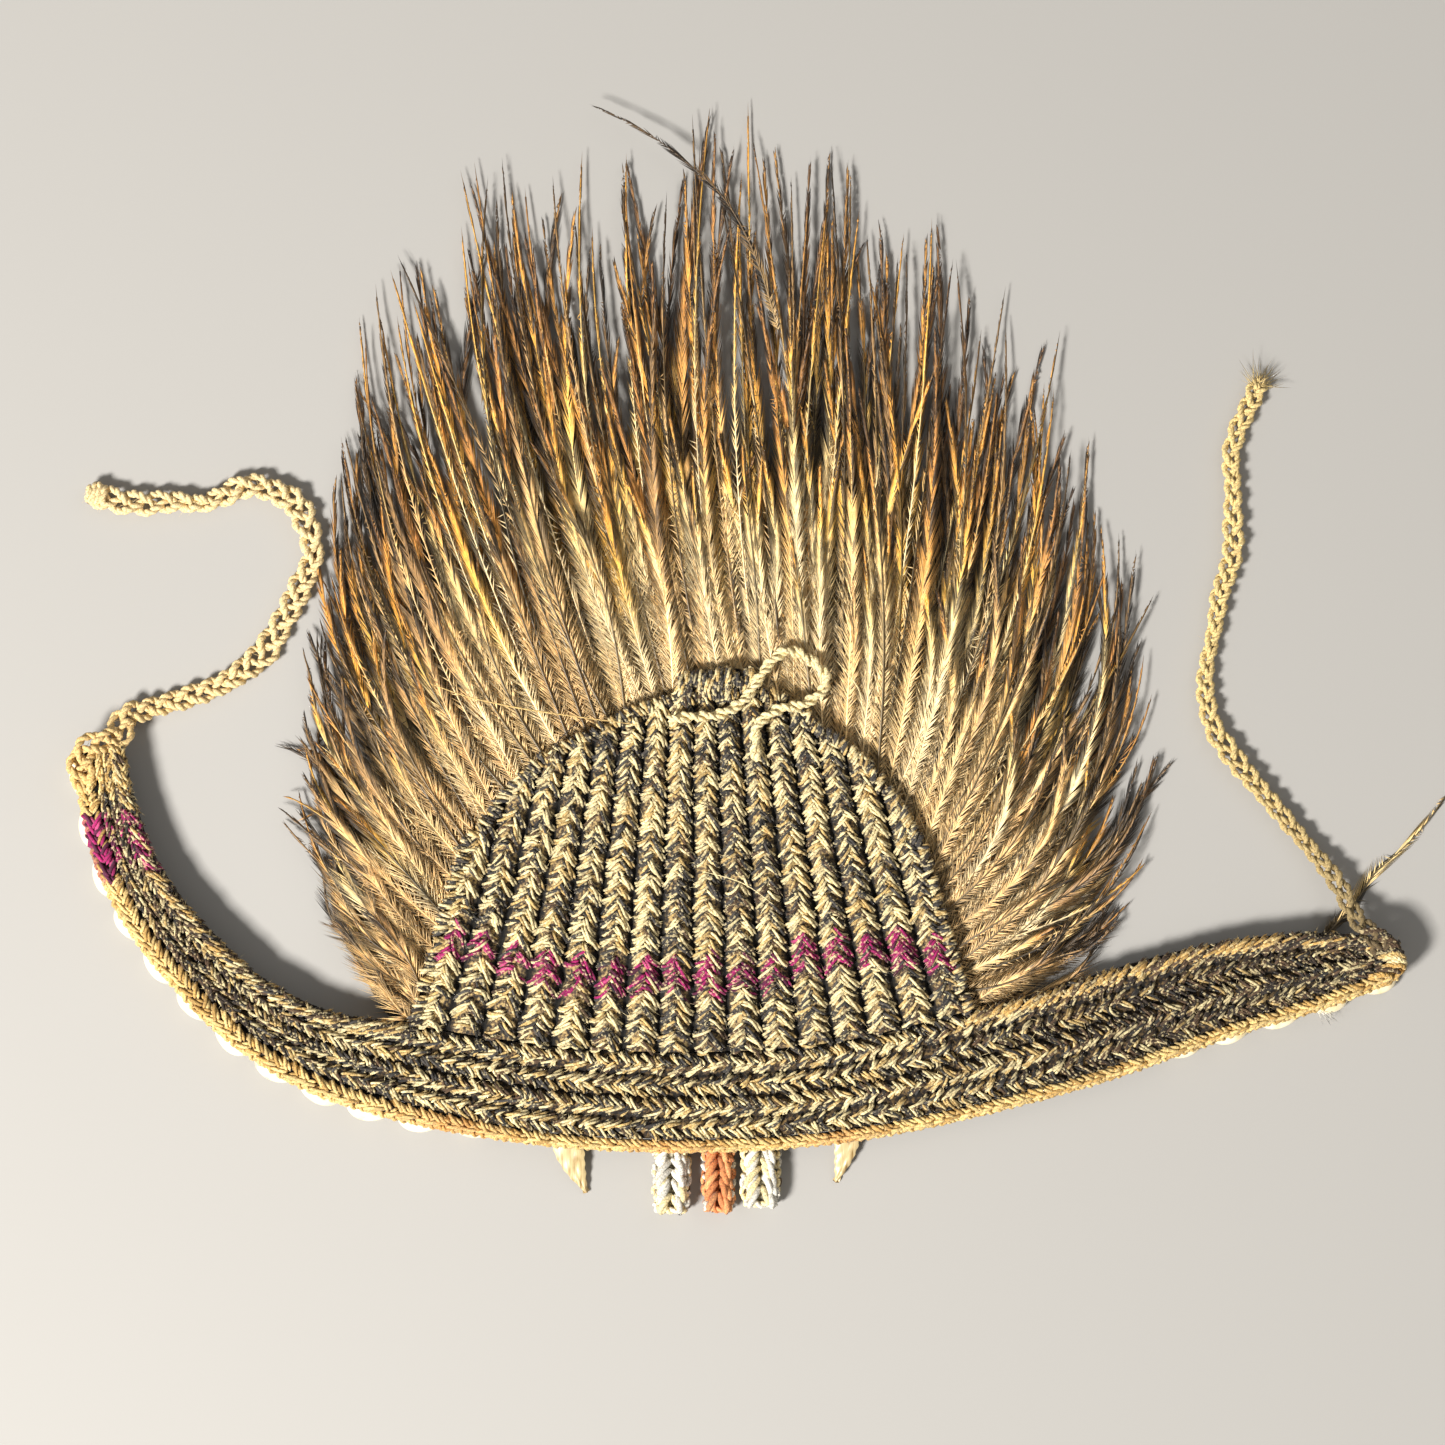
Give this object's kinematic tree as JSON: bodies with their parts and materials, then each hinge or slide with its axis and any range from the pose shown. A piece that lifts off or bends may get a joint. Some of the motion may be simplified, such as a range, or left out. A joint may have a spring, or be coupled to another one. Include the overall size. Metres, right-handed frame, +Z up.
{
  "type": "feathered headdress",
  "caption": "Looped-fibre headdress with a cowrie-trimmed headband, a ribbed cap panel and a wide crest of brown feathers, lying face down.",
  "frame": {"origin": "middle of the bounding box, on the surface that the headdress lies on", "axes": "+Z up from the surface out of the back of the cloth, +Y from the headband towards the feather tips, +X along the headband towards the end with the single loose feather"},
  "size_m": [0.4971, 0.3999, 0.0179],
  "materials": {
    "looped_fibre": "rough two-ply looped plant fibre, cream and dark grey",
    "natural_fibre": "natural looped plant fibre",
    "pale_fibre": "pale grey-white looped fibre",
    "ochre_fibre": "ochre-dyed looped fibre",
    "cowrie_shell": "naturally glossy shell",
    "tooth": "satin tooth or bone",
    "feather": "brown feather, satin barbs"
  },
  "bodies": {
    "root": {"cap_panel": "looped_fibre", "headband": "looped_fibre", "lower_edging": "natural_fibre", "feather_crest": "feather", "end_feather": "feather", "tooth_left": "tooth", "tooth_right": "tooth", "tab_left": "pale_fibre", "tab_middle": "ochre_fibre", "tab_right": "pale_fibre", "tie_cord_left": "natural_fibre", "tie_cord_right": "natural_fibre", "top_loop": "natural_fibre", "cowrie_01": "cowrie_shell", "cowrie_02": "cowrie_shell", "cowrie_03": "cowrie_shell", "cowrie_04": "cowrie_shell", "cowrie_05": "cowrie_shell", "cowrie_06": "cowrie_shell", "cowrie_07": "cowrie_shell", "cowrie_08": "cowrie_shell", "cowrie_09": "cowrie_shell", "cowrie_10": "cowrie_shell", "cowrie_11": "cowrie_shell", "cowrie_12": "cowrie_shell", "cowrie_13": "cowrie_shell", "cowrie_14": "cowrie_shell", "cowrie_15": "cowrie_shell", "cowrie_16": "cowrie_shell", "cowrie_17": "cowrie_shell", "cowrie_18": "cowrie_shell", "cowrie_19": "cowrie_shell", "cowrie_20": "cowrie_shell", "cowrie_21": "cowrie_shell", "cowrie_22": "cowrie_shell", "cowrie_23": "cowrie_shell", "cowrie_24": "cowrie_shell", "cowrie_25": "cowrie_shell", "cowrie_26": "cowrie_shell", "cowrie_27": "cowrie_shell", "cowrie_28": "cowrie_shell", "cowrie_29": "cowrie_shell", "cowrie_30": "cowrie_shell"}
  },
  "joints": []
}
